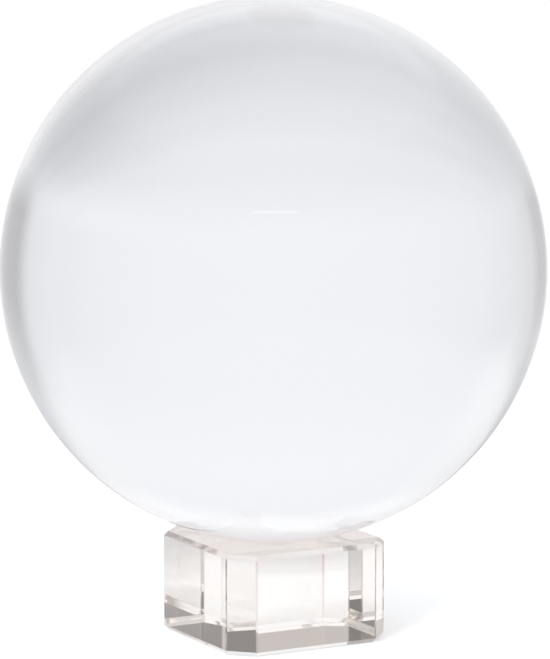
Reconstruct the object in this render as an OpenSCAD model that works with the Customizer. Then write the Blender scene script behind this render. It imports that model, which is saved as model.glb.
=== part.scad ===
// Crystal ball on its display block. Millimetres, +Z up.
// The origin is at the centre of the block's underside.

/* [Ball] */
// Diameter of the crystal ball
ball_d = 150; // [100:5:200]

/* [Stand block] */
// Width of the block across its flat faces
block_w = 49.5; // [44:0.5:70]
// Height of the block
block_h = 27.8; // [20:0.1:40]
// Length that each cut corner takes off both of its faces
corner_cut = 6.2; // [3:0.1:9]
// Polished bevel along the top and bottom edges
edge_bevel = 1.2; // [0.6:0.1:2]
// Width of the polished flat along each upright edge
upright_flat = 0.5; // [0.2:0.1:0.8]

/* [Seat] */
// Diameter of the round seat ground into the top face
seat_d = 25; // [20:0.5:30]
// Radius of the seat's curve, tighter than the ball so that the ball bears on the rim
seat_curve_r = 60; // [35:1:90]
// Air left between the ball and the seat's rim
seat_gap = 0.1; // [0.05:0.05:0.3]

/* [Hidden] */
$fn = 128;

// Where the ball's centre stands when it rests on the rim
ball_r = ball_d / 2;
seat_r = seat_d / 2;
ball_centre_z = block_h + sqrt(ball_r * ball_r - seat_r * seat_r) + seat_gap;

// Where the centre of the seat's curve stands
seat_centre_z = block_h + sqrt(seat_curve_r * seat_curve_r - seat_r * seat_r);

// Width of the block across two opposite cut corners
cut_w = (block_w - corner_cut) * sqrt(2);

// Width across two opposite upright edges, square to their flats
sharp_edge_w = block_w * cos(22.5) + (block_w - 2 * corner_cut) * sin(22.5);
edge_w = sharp_edge_w - upright_flat / tan(67.5);

// Each pair of opposite side faces: the way it faces and its width
SIDE_PAIRS = [[0, block_w], [90, block_w], [45, cut_w], [135, cut_w]];

// Cross-section of the block through one pair of side faces, with its four bevels
module bevelled_section(width) {
    side = width / 2;
    inner = side - edge_bevel;
    top = block_h - edge_bevel;
    polygon([
        [-inner, 0], [inner, 0], [side, edge_bevel], [side, top],
        [inner, block_h], [-inner, block_h], [-side, top], [-side, edge_bevel]
    ]);
}

// Endless bar that gives the block one pair of side faces and their bevels
module bevelled_bar(turn, width) {
    rotate([0, 0, turn])
        rotate([90, 0, 0])
            linear_extrude(height = 2 * block_w, center = true)
                bevelled_section(width);
}

// Upright column that puts a narrow flat on each upright edge
module upright_column(turn) {
    rotate([0, 0, turn])
        linear_extrude(height = block_h)
            square(edge_w, center = true);
}

module solid_block() {
    intersection() {
        intersection_for (pair = SIDE_PAIRS)
            bevelled_bar(pair[0], pair[1]);
        upright_column(22.5);
        upright_column(67.5);
    }
}

module seat_hollow() {
    translate([0, 0, seat_centre_z])
        sphere(r = seat_curve_r);
}

module stand_block() {
    color("seashell", 0.6)
        difference() {
            solid_block();
            seat_hollow();
        }
}

module crystal_ball() {
    color("aliceblue", 0.4)
        translate([0, 0, ball_centre_z])
            sphere(r = ball_r);
}

stand_block();
crystal_ball();
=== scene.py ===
# Clear glass ball on its cut-corner display block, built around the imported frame. Metres, +Z up.
from math import cos, pi, radians, sin, sqrt, tan

import bpy
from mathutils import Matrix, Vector


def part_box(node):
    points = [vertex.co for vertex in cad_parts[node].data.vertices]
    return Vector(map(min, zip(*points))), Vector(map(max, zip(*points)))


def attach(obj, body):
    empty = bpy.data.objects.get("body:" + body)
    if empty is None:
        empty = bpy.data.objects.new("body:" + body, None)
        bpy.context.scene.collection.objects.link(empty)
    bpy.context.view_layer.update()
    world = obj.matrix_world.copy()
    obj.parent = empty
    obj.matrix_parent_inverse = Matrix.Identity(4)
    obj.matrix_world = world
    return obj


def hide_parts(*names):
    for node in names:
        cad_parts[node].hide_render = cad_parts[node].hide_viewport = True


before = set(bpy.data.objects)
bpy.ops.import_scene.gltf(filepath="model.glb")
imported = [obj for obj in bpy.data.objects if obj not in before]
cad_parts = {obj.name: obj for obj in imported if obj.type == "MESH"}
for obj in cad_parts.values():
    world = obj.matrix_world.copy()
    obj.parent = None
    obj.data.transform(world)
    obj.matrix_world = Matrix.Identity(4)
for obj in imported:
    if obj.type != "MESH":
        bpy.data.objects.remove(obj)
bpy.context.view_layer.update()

# ---------------------------------------------------------------- sizes
MM = 0.001

ball_low, ball_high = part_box("crystal_ball")
block_low, block_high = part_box("stand_block")

# The ball, from its own box
BALL_R = (ball_high.z - ball_low.z) / 2
BALL_CENTRE = Vector((0, 0, (ball_low.z + ball_high.z) / 2))
BALL_CUTS = 71

# The block, from its own box
BLOCK_W = block_high.x - block_low.x
BLOCK_H = block_high.z - block_low.z
CORNER_CUT = 6.2 * MM
EDGE_BEVEL = 1.2 * MM
UPRIGHT_FLAT = 0.5 * MM
ARRIS = 0.08 * MM
ARRIS_STEPS = 2
WELD = 0.001 * MM

# The round seat ground into the block's top
SEAT_R = 12.5 * MM
SEAT_CURVE_R = 60 * MM
SEAT_RIM_W = 0.6 * MM
SEAT_SINK = 0.01 * MM
SEAT_SEGMENTS = 160
SEAT_RINGS = 240

# Material slots of the block
FLAT, BEVELLED, ARRISED, SEAT_RIM = range(4)

# Edges that turn by more than the first angle get an arris, and by more than the second stay crisp
ARRIS_ANGLE = radians(15)
CRISP_ANGLE = radians(4)

# How far a face's normal leans up or down: above LEVEL it is a top or an underside, above STEEP a bevel
LEVEL = 0.9
STEEP = 0.5

# ---------------------------------------------------------------- camera
VIEW_TURN = radians(-28.5)
VIEW_RISE = radians(8.2)
VIEW_DISTANCE = 1.213
AIM_BELOW = 16.5 * MM
AIM_RIGHT = 0.4 * MM
LENS = 241.5

# Level directions of the view: away from the camera, and to its right
AHEAD = Vector((-sin(VIEW_TURN), cos(VIEW_TURN), 0))
TO_RIGHT = Vector((cos(VIEW_TURN), sin(VIEW_TURN), 0))


def point_along(thing, direction):
    """Turns a camera or a light so that it looks or shines along a direction."""
    thing.rotation_mode = "QUATERNION"
    thing.rotation_quaternion = direction.to_track_quat("-Z", "Y")


def make_camera():
    """Long-lens camera, a little above the ball's centre and to its left."""
    data = bpy.data.cameras.new("studio_camera")
    data.lens = LENS
    camera = bpy.data.objects.new("studio_camera", data)
    bpy.context.scene.collection.objects.link(camera)
    back = Vector((0, 0, sin(VIEW_RISE))) - AHEAD * cos(VIEW_RISE)
    upwards = TO_RIGHT.cross(-back)
    aim = BALL_CENTRE - upwards * AIM_BELOW + TO_RIGHT * AIM_RIGHT
    camera.location = BALL_CENTRE + back * VIEW_DISTANCE
    point_along(camera, aim - camera.location)
    bpy.context.scene.camera = camera


make_camera()


# ---------------------------------------------------------------- modelling helpers
def start_piece(name):
    """Names the primitive that was just added, and opens it for modelling with everything selected."""
    piece = bpy.context.object
    piece.name = piece.data.name = name
    bpy.ops.object.transform_apply(location=True, rotation=True, scale=True)
    bpy.ops.object.mode_set(mode="EDIT")
    bpy.ops.mesh.select_all(action="SELECT")
    return piece


def only_select(piece):
    bpy.ops.object.select_all(action="DESELECT")
    piece.select_set(True)
    bpy.context.view_layer.objects.active = piece


def apply_modifiers(piece):
    only_select(piece)
    for modifier in list(piece.modifiers):
        bpy.ops.object.modifier_apply(modifier=modifier.name)


def cut_flat(point, facing):
    """Cuts away all that lies beyond a plane, and closes the cut with a flat face."""
    bpy.ops.mesh.select_all(action="SELECT")
    bpy.ops.mesh.bisect(plane_co=point, plane_no=facing, use_fill=True, clear_outer=True)


# ---------------------------------------------------------------- the ball
def model_ball():
    """Seamless ball: a cube cut into small squares and cast onto an exact sphere, so it has no poles."""
    bpy.ops.object.select_all(action="DESELECT")
    bpy.ops.mesh.primitive_cube_add(size=2 * BALL_R)
    ball = start_piece("ball_glass")
    bpy.ops.mesh.subdivide(number_cuts=BALL_CUTS)
    bpy.ops.object.mode_set(mode="OBJECT")
    cast = ball.modifiers.new("round", "CAST")
    cast.cast_type = "SPHERE"
    cast.factor = 1
    cast.size = BALL_R
    cast.use_radius_as_size = False
    apply_modifiers(ball)
    bpy.ops.object.shade_smooth()
    ball.location = BALL_CENTRE
    bpy.ops.object.transform_apply(location=True, rotation=True, scale=True)
    return ball


# ---------------------------------------------------------------- the block
def side_faces():
    """The eight upright faces: the way each one faces, and how far it stands from the middle."""
    across_corners = (BLOCK_W - CORNER_CUT) * sqrt(2)
    for number in range(8):
        turn = radians(45 * number)
        width = across_corners if number % 2 else BLOCK_W
        yield Vector((cos(turn), sin(turn), 0)), width / 2


def model_seat_cutter():
    """Ball-shaped grinder that leaves the round seat in the block's top."""
    bpy.ops.object.select_all(action="DESELECT")
    rise = sqrt(SEAT_CURVE_R**2 - SEAT_R**2)
    bpy.ops.mesh.primitive_uv_sphere_add(
        segments=SEAT_SEGMENTS, ring_count=SEAT_RINGS, radius=SEAT_CURVE_R, location=(0, 0, BLOCK_H + rise)
    )
    cutter = start_piece("seat_cutter")
    bpy.ops.object.mode_set(mode="OBJECT")
    bpy.ops.object.shade_smooth()
    return cutter


def model_block():
    """Low square block with cut corners, polished bevels, narrow flats on its upright edges, and a seat."""
    bpy.ops.object.select_all(action="DESELECT")
    bpy.ops.mesh.primitive_cube_add(
        size=1, location=(0, 0, BLOCK_H / 2), scale=(BLOCK_W, BLOCK_W, BLOCK_H)
    )
    block = start_piece("block_glass")
    for facing, reach in list(side_faces())[1::2]:
        cut_flat(facing * reach, facing)

    sharp_edge = BLOCK_W / 2 * cos(pi / 8) + (BLOCK_W / 2 - CORNER_CUT) * sin(pi / 8)
    edge_reach = sharp_edge - UPRIGHT_FLAT / 2 / tan(3 * pi / 8)
    for number in range(8):
        turn = radians(22.5 + 45 * number)
        facing = Vector((cos(turn), sin(turn), 0))
        cut_flat(facing * edge_reach, facing)

    up = Vector((0, 0, 1))
    for facing, reach in side_faces():
        inner = facing * (reach - EDGE_BEVEL)
        cut_flat(inner + up * BLOCK_H, facing + up)
        cut_flat(inner, facing - up)
    bpy.ops.mesh.select_all(action="SELECT")
    bpy.ops.mesh.remove_doubles(threshold=WELD)
    bpy.ops.mesh.normals_make_consistent(inside=False)
    bpy.ops.object.mode_set(mode="OBJECT")

    for slot in (FLAT, BEVELLED, ARRISED, SEAT_RIM):
        block.data.materials.append(None)
    for face in block.data.polygons:
        sloping = STEEP < abs(face.normal.z) < LEVEL
        narrow = face.area < 1.5 * UPRIGHT_FLAT * BLOCK_H
        face.material_index = BEVELLED if sloping or narrow else FLAT

    arris = block.modifiers.new("arris", "BEVEL")
    arris.material = ARRISED
    arris.width = ARRIS
    arris.segments = ARRIS_STEPS
    arris.limit_method = "ANGLE"
    arris.angle_limit = ARRIS_ANGLE
    cutter = model_seat_cutter()
    seat = block.modifiers.new("seat", "BOOLEAN")
    seat.operation = "DIFFERENCE"
    seat.solver = "EXACT"
    seat.object = cutter
    apply_modifiers(block)
    bpy.data.objects.remove(cutter)
    for face in block.data.polygons:
        reach = Vector(face.center[:2]).length
        sunk = face.center.z < BLOCK_H - SEAT_SINK
        if face.normal.z > LEVEL and sunk and reach < SEAT_R:
            face.material_index = SEAT_RIM if reach > SEAT_R - SEAT_RIM_W else FLAT
    only_select(block)
    bpy.ops.object.shade_smooth_by_angle(angle=CRISP_ANGLE)
    return block


ball = model_ball()
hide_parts("crystal_ball")
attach(ball, "ball")

block = model_block()
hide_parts("stand_block")
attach(block, "stand")


# ---------------------------------------------------------------- node helpers
class Nodes:
    """Short hand for adding and joining nodes in one node tree."""

    def __init__(self, tree):
        self.tree = tree
        tree.nodes.clear()

    def add(self, kind, inputs=(), **settings):
        node = self.tree.nodes.new(kind)
        for name, value in settings.items():
            setattr(node, name, value)
        for socket, value in dict(inputs).items():
            if isinstance(value, bpy.types.NodeSocket):
                self.tree.links.new(value, node.inputs[socket])
            else:
                node.inputs[socket].default_value = value
        return node

    def math(self, operation, first, second=0.0, third=0.0):
        node = self.add("ShaderNodeMath", {0: first, 1: second, 2: third}, operation=operation)
        return node.outputs[0]

    def ramp(self, factor, stops, smooth=True):
        """Colour ramp with a list of (place, colour) stops."""
        node = self.add("ShaderNodeValToRGB", {"Fac": factor})
        node.color_ramp.interpolation = "EASE" if smooth else "LINEAR"
        elements = node.color_ramp.elements
        for place, colour in stops[1:-1]:
            elements.new(place).color = (*colour, 1)
        elements[0].position, elements[0].color = stops[0][0], (*stops[0][1], 1)
        elements[len(stops) - 1].position = stops[-1][0]
        elements[len(stops) - 1].color = (*stops[-1][1], 1)
        return node.outputs["Color"]

    def mix(self, factor, first, second, blend="MIX"):
        sides = {0: factor, 6: first, 7: second}
        node = self.add("ShaderNodeMix", sides, data_type="RGBA", blend_type=blend)
        return node.outputs[2]

    def dot(self, vector, direction):
        """How far a vector reaches along a direction."""
        node = self.add("ShaderNodeVectorMath", {0: vector, 1: direction}, operation="DOT_PRODUCT")
        return node.outputs["Value"]

    def hypotenuse(self, first, second):
        square = self.math("MULTIPLY", second, second)
        return self.math("SQRT", self.math("MULTIPLY_ADD", first, first, square))

    def ease(self, value, start, end, low=0.0, high=1.0):
        """Goes softly from low to high while the value goes from start to end."""
        node = self.add("ShaderNodeMapRange", {
            "Value": value, "From Min": start, "From Max": end, "To Min": low, "To Max": high,
        }, interpolation_type="SMOOTHSTEP")
        return node.outputs["Result"]


# ---------------------------------------------------------------- glass
CRYSTAL_IOR = 1.517


def polish_group():
    """Hand polish: roughness that varies with the faint smears of a cloth and with short hairlines."""
    group = bpy.data.node_groups.new("hand_polish", "ShaderNodeTree")
    for name, start in (("Ground", 0.0), ("Smear Size", 0.03), ("Smear", 0.02), ("Hairline", 0.06),
                        ("Hairline Density", 90.0)):
        socket = group.interface.new_socket(name, in_out="INPUT", socket_type="NodeSocketFloat")
        socket.default_value = start
    group.interface.new_socket("Roughness", in_out="OUTPUT", socket_type="NodeSocketFloat")
    nodes = Nodes(group)
    given = nodes.add("NodeGroupInput").outputs
    place = nodes.add("ShaderNodeTexCoord").outputs["Object"]

    smear_scale = nodes.math("DIVIDE", 1.0, given["Smear Size"])
    cloud = nodes.add("ShaderNodeTexNoise", {"Vector": place, "Scale": smear_scale, "Detail": 4.0,
                                             "Distortion": 0.6}).outputs[0]
    smears = nodes.ease(cloud, 0.52, 0.74)

    # Hairlines are the thin borders of stretched cells, kept only here and there
    drawn_out = nodes.add("ShaderNodeMapping", {"Vector": place, "Scale": (1.0, 1.0, 0.22),
                                                "Rotation": (0.5, 0.9, 0.3)}).outputs[0]
    cells = nodes.add("ShaderNodeTexVoronoi", {"Vector": drawn_out, "Scale": given["Hairline Density"]},
                      feature="DISTANCE_TO_EDGE").outputs["Distance"]
    lines = nodes.math("LESS_THAN", cells, 0.012)
    patches = nodes.add("ShaderNodeTexNoise", {"Vector": place, "Scale": 70.0, "Detail": 1.0}).outputs[0]
    sparse = nodes.math("GREATER_THAN", patches, 0.66)
    hairlines = nodes.math("MULTIPLY", lines, sparse)

    rough = nodes.math("MULTIPLY_ADD", smears, given["Smear"], given["Ground"])
    rough = nodes.math("MULTIPLY_ADD", hairlines, given["Hairline"], rough)
    nodes.add("NodeGroupOutput", {"Roughness": rough})
    return group


def glass_material(name, polish, absorbed, density, surface=(1, 1, 1)):
    """Clear crystal whose faint tint grows with the thickness of glass that is looked through."""
    material = bpy.data.materials.new(name)
    material.use_nodes = True
    nodes = Nodes(material.node_tree)
    marks = nodes.add("ShaderNodeGroup", node_tree=POLISH)
    for socket, value in polish.items():
        marks.inputs[socket].default_value = value
    shader = nodes.add("ShaderNodeBsdfPrincipled", {
        "Base Color": (*surface, 1), "Roughness": marks.outputs["Roughness"],
        "IOR": CRYSTAL_IOR, "Transmission Weight": 1.0,
    })
    tint = nodes.add("ShaderNodeVolumeAbsorption", {"Color": (*absorbed, 1), "Density": density})
    nodes.add("ShaderNodeOutputMaterial", {"Surface": shader.outputs["BSDF"], "Volume": tint.outputs[0]})
    return material


POLISH = polish_group()
COOL = {"absorbed": (0.70, 0.74, 1.0), "density": 0.7}
WARM = {"absorbed": (1.0, 0.80, 0.62), "density": 2.0}
FAINT_WARM = {"absorbed": (1.0, 0.80, 0.62), "density": 0.7}

ball_polish = {"Smear Size": 0.045, "Smear": 0.015, "Hairline": 0.05}
flat_polish = {"Smear Size": 0.02, "Smear": 0.02, "Hairline": 0.06}
bevel_polish = {"Ground": 0.08, "Smear Size": 0.01, "Smear": 0.03}
arris_polish = {"Ground": 0.25, "Smear Size": 0.002, "Smear": 0.1}
rim_polish = {"Ground": 0.2, "Smear Size": 0.003, "Smear": 0.2}
# Grey in the seat rim is painted shade where the ball meets the block; the rim's ground roughness is its real
# finish
RIM_PAINTED_SHADE_GREY = (0.62, 0.60, 0.59)

ball.data.materials.append(glass_material("clear_cool_crystal", ball_polish, **COOL))
block_finishes = {
    FLAT: glass_material("clear_warm_crystal", flat_polish, **WARM),
    BEVELLED: glass_material("fine_polished_bevel", bevel_polish, **FAINT_WARM),
    ARRISED: glass_material("ground_arris", arris_polish, **FAINT_WARM),
    SEAT_RIM: glass_material("ground_seat_rim_painted_shade", rim_polish, surface=RIM_PAINTED_SHADE_GREY, **WARM),
}
for slot, finish in block_finishes.items():
    block.data.materials[slot] = finish


# ---------------------------------------------------------------- studio
FLOOR_SIZE = 3.0
FLOOR_DROP = 0.15 * MM
FLOOR_RAMP_SPAN = 0.5
# Where the painted pool of light and its painted ring of shade lie on the floor
PAINTED_POOL_BEHIND = 45 * MM
PAINTED_POOL_RIGHT = 60 * MM
PAINTED_POOL_SQUEEZE = 0.25
PAINTED_POOL_SLANT = 0.1
FADE_SQUEEZE = 1.8
FADE_START = 0.34
FADE_END = 0.58
# Painted light: how far to the right the floor's emission starts and stops brightening, and by how much
PAINTED_SIDE_LIGHT_START = 0.08
PAINTED_SIDE_LIGHT_END = 0.22
PAINTED_SIDE_LIGHT_MOST = 1.28
BARE_WHITE = (1.02, 1.02, 1.02, 1)


def pool_stop(reach, colour):
    """Ramp stop for a distance on the floor in metres."""
    return reach / FLOOR_RAMP_SPAN, colour


def heading_stop(heading, colour):
    """Ramp stop for a heading in degrees, 0 straight ahead and positive to the right."""
    return (heading + 180) / 360, colour


def rise_stop(rise, colour):
    """Ramp stop for an elevation in degrees."""
    return rise / 90, colour


def grey(level, warmth=0.0):
    return (level * (1 + warmth), level, level * (1 - warmth))


def make_floor():
    """Table top a hair's breadth under the block: white to the camera; to all other rays it shows a painted
    pool of light, a painted ring of shade and painted shade under the block.
    """
    bpy.ops.object.select_all(action="DESELECT")
    bpy.ops.mesh.primitive_plane_add(size=FLOOR_SIZE, location=(0, 0, -FLOOR_DROP))
    floor = bpy.context.object
    floor.name = "pale_floor_with_painted_light"
    material = bpy.data.materials.new("pale_floor_with_painted_light")
    material.use_nodes = True
    nodes = Nodes(material.node_tree)
    path = nodes.add("ShaderNodeLightPath")
    place = nodes.add("ShaderNodeTexCoord").outputs["Object"]
    reach = nodes.add("ShaderNodeVectorMath", {0: place}, operation="LENGTH").outputs["Value"]

    # The painted pool of light lies behind the block, far wider than deep, and is turned a little
    ahead = nodes.dot(place, AHEAD)
    right = nodes.dot(place, TO_RIGHT)
    deep = nodes.math("SUBTRACT", nodes.math("MULTIPLY_ADD", right, -PAINTED_POOL_SLANT, ahead), PAINTED_POOL_BEHIND)
    wide = nodes.math("MULTIPLY", nodes.math("SUBTRACT", right, PAINTED_POOL_RIGHT), PAINTED_POOL_SQUEEZE)
    from_painted_pool = nodes.hypotenuse(deep, wide)

    # What the camera sees directly: white paper with soft shadows
    paper = nodes.add("ShaderNodeBsdfDiffuse", {"Color": (0.72, 0.72, 0.725, 1)})
    bright = nodes.add("ShaderNodeEmission", {"Color": (1, 1, 1, 1), "Strength": 0.36})
    direct = nodes.add("ShaderNodeAddShader", {0: paper.outputs[0], 1: bright.outputs[0]})

    # What every other ray sees: a painted pool of light inside a broad painted ring of shade, given off as
    # the floor's own emission
    pool = nodes.ramp(nodes.math("DIVIDE", from_painted_pool, FLOOR_RAMP_SPAN), [
        pool_stop(0.0, grey(0.73, 0.008)),
        pool_stop(0.045, grey(0.70, 0.008)),
        pool_stop(0.060, grey(0.55, 0.004)),
        pool_stop(0.075, grey(0.43)),
        pool_stop(0.090, grey(0.33, -0.01)),
        pool_stop(0.125, grey(0.275, -0.02)),
        pool_stop(0.155, grey(0.32, -0.02)),
        pool_stop(0.200, grey(0.38, -0.02)),
        pool_stop(0.255, grey(0.44, -0.02)),
        pool_stop(0.345, grey(0.48, -0.02)),
        pool_stop(0.500, grey(0.53, -0.02)),
    ])
    # Painted shade under the block: the floor's emission turns darker and warmer where the block stands
    painted_shade_beneath = nodes.ramp(nodes.math("DIVIDE", reach, FLOOR_RAMP_SPAN), [
        pool_stop(0.020, (0.88, 0.80, 0.76)),
        pool_stop(0.032, (1, 1, 1)),
    ])
    pool = nodes.mix(1.0, pool, painted_shade_beneath, blend="MULTIPLY")
    card = nodes.add("ShaderNodeBsdfDiffuse", {"Color": (0.30, 0.30, 0.305, 1)})
    # Painted light: the floor's emission grows brighter towards the camera's right
    painted_side_light = nodes.ease(right, PAINTED_SIDE_LIGHT_START, PAINTED_SIDE_LIGHT_END, 1.0, PAINTED_SIDE_LIGHT_MOST)
    painted_glow = nodes.add("ShaderNodeEmission", {"Color": pool, "Strength": painted_side_light})
    through = nodes.add("ShaderNodeAddShader", {0: card.outputs[0], 1: painted_glow.outputs[0]})

    surface = nodes.add(
        "ShaderNodeMixShader", {0: path.outputs["Is Camera Ray"], 1: through.outputs[0], 2: direct.outputs[0]}
    )

    # Far out the floor gives way to the surroundings, sooner at the sides than ahead
    aside = nodes.math("MULTIPLY", right, FADE_SQUEEZE)
    fade = nodes.ease(nodes.hypotenuse(ahead, aside), FADE_START, FADE_END)
    open_air = nodes.add("ShaderNodeBsdfTransparent")
    faded = nodes.add("ShaderNodeMixShader", {0: fade, 1: surface.outputs[0], 2: open_air.outputs[0]})
    nodes.add("ShaderNodeOutputMaterial", {"Surface": faded.outputs[0]})
    floor.data.materials.append(material)


def make_world():
    """Surroundings: white to the camera, grey walls to the glass, darker ones to reflections in it."""
    world = bpy.data.worlds.new("studio")
    bpy.context.scene.world = world
    world.use_nodes = True
    nodes = Nodes(world.node_tree)
    direction = nodes.add("ShaderNodeTexCoord").outputs["Generated"]
    ahead = nodes.dot(direction, AHEAD)
    right = nodes.dot(direction, TO_RIGHT)
    height = nodes.add("ShaderNodeSeparateXYZ", {0: direction}).outputs["Z"]
    heading = nodes.math("ARCTAN2", right, ahead)
    turn = nodes.math("MULTIPLY_ADD", heading, 0.5 / pi, 0.5)
    rise = nodes.math("MULTIPLY", nodes.math("ARCSINE", height), 2 / pi)

    # Seen by light that goes straight through the glass or is mirrored on its outside
    walls = nodes.ramp(turn, [
        heading_stop(-180, grey(0.80)),
        heading_stop(-130, grey(0.80)),
        heading_stop(-105, grey(0.66)),
        heading_stop(-80, grey(0.34)),
        heading_stop(-72, grey(0.52)),
        heading_stop(-60, grey(0.80)),
        heading_stop(-48, grey(0.92, -0.01)),
        heading_stop(0, grey(0.945, -0.015)),
        heading_stop(40, grey(0.915, -0.01)),
        heading_stop(50, grey(0.86, -0.01)),
        heading_stop(62, grey(0.47)),
        heading_stop(72, grey(0.45)),
        heading_stop(88, grey(0.66)),
        heading_stop(130, grey(0.80)),
        heading_stop(180, grey(0.80)),
    ])
    overhead = nodes.ramp(rise, [
        rise_stop(2, grey(0.0)), rise_stop(8, grey(0.1)), rise_stop(12, grey(0.24)),
        rise_stop(24, grey(0.78)), rise_stop(40, grey(1.0)),
    ], smooth=False)
    ceiling = nodes.ramp(rise, [rise_stop(40, (0.99, 1.0, 1.01)), rise_stop(52, (1.14, 1.15, 1.16))])
    seen = nodes.mix(overhead, walls, ceiling)

    # Seen by light that was reflected inside the glass: low, middle and high bands
    low = nodes.ramp(turn, [
        heading_stop(-180, (0.33, 0.31, 0.30)),
        heading_stop(-150, (0.22, 0.21, 0.20)),
        heading_stop(-90, (0.22, 0.21, 0.20)),
        heading_stop(-58, (0.29, 0.27, 0.26)),
        heading_stop(-42, (0.56, 0.52, 0.50)),
        heading_stop(-10, (0.62, 0.58, 0.56)),
        heading_stop(10, (0.575, 0.53, 0.505)),
        heading_stop(24, (0.27, 0.25, 0.245)),
        heading_stop(180, (0.33, 0.31, 0.30)),
    ])
    middle = nodes.ramp(turn, [
        heading_stop(-180, grey(0.40, 0.03)),
        heading_stop(-60, grey(0.45, 0.03)),
        heading_stop(-42, grey(0.80, 0.02)),
        heading_stop(10, grey(0.86, 0.02)),
        heading_stop(26, grey(0.42, 0.03)),
        heading_stop(180, grey(0.40, 0.03)),
    ])
    from_low = nodes.ramp(rise, [rise_stop(15, grey(0.0)), rise_stop(18, grey(1.0))], smooth=False)
    from_middle = nodes.ramp(rise, [rise_stop(32, grey(0.0)), rise_stop(58, grey(1.0))], smooth=False)
    high = (1.1, 1.08, 1.06, 1)
    reflected = nodes.mix(from_middle, nodes.mix(from_low, low, middle), high)

    # The darker surroundings fade out from 4 to 14 degrees below the horizon
    skyward = nodes.math("MULTIPLY_ADD", height, 5.7, 1.4)
    skyward = nodes.add("ShaderNodeClamp", {"Value": skyward}).outputs[0]
    reflected = nodes.mix(skyward, seen, reflected)

    path = nodes.add("ShaderNodeLightPath")
    mirrored = nodes.math("GREATER_THAN", path.outputs["Glossy Depth"], 0.5)
    passed_through = nodes.math("GREATER_THAN", path.outputs["Transmission Depth"], 1.5)
    inside = nodes.math("MULTIPLY", mirrored, passed_through)
    colour = nodes.mix(inside, seen, reflected)
    colour = nodes.mix(path.outputs["Is Camera Ray"], colour, BARE_WHITE)
    background = nodes.add("ShaderNodeBackground", {"Color": colour})
    nodes.add("ShaderNodeOutputWorld", {"Surface": background.outputs[0]})


def add_light(name, kind, energy, shining):
    """Light that shines along a direction."""
    light = bpy.data.objects.new(name, bpy.data.lights.new(name, kind))
    light.data.energy = energy
    bpy.context.scene.collection.objects.link(light)
    point_along(light, shining)
    return light


KEY_STRENGTH = 2.9
KEY_SPREAD = radians(24)
KEY_TRAVEL = AHEAD * 200 + TO_RIGHT * 125 + Vector((0, 0, -102))


def make_key_light():
    """Broad soft light from the camera's left, and from higher up than the camera."""
    light = add_light("key_light", "SUN", KEY_STRENGTH, KEY_TRAVEL)
    light.data.angle = KEY_SPREAD
    light.visible_glossy = False
    light.visible_transmission = False


TUBE_RISE = radians(31.4)
TUBE_DISTANCE = 3.4
TUBE_SIZE = (1.2, 0.05)
TUBE_WATTS = 0.35


def make_tube_light():
    """Ceiling tube behind the camera and above it, seen only as a short bright streak on the glass."""
    towards = Vector((0, 0, sin(TUBE_RISE))) - AHEAD * cos(TUBE_RISE)
    light = add_light("ceiling_tube", "AREA", TUBE_WATTS, -towards)
    light.data.shape = "RECTANGLE"
    light.data.size, light.data.size_y = TUBE_SIZE
    light.location = BALL_CENTRE + towards * TUBE_DISTANCE
    light.visible_camera = False
    light.visible_diffuse = False
    light.visible_transmission = False


make_floor()
make_world()
make_key_light()
make_tube_light()

scene = bpy.context.scene
scene.view_settings.view_transform = "Standard"

# Light needs many bounces to find its way out of the block
scene.cycles.max_bounces = 32
scene.cycles.transmission_bounces = 24
scene.cycles.glossy_bounces = 24

# Colour alone guides the denoiser, because its other passes draw a line where the floor fades out
scene.cycles.denoising_input_passes = "RGB"
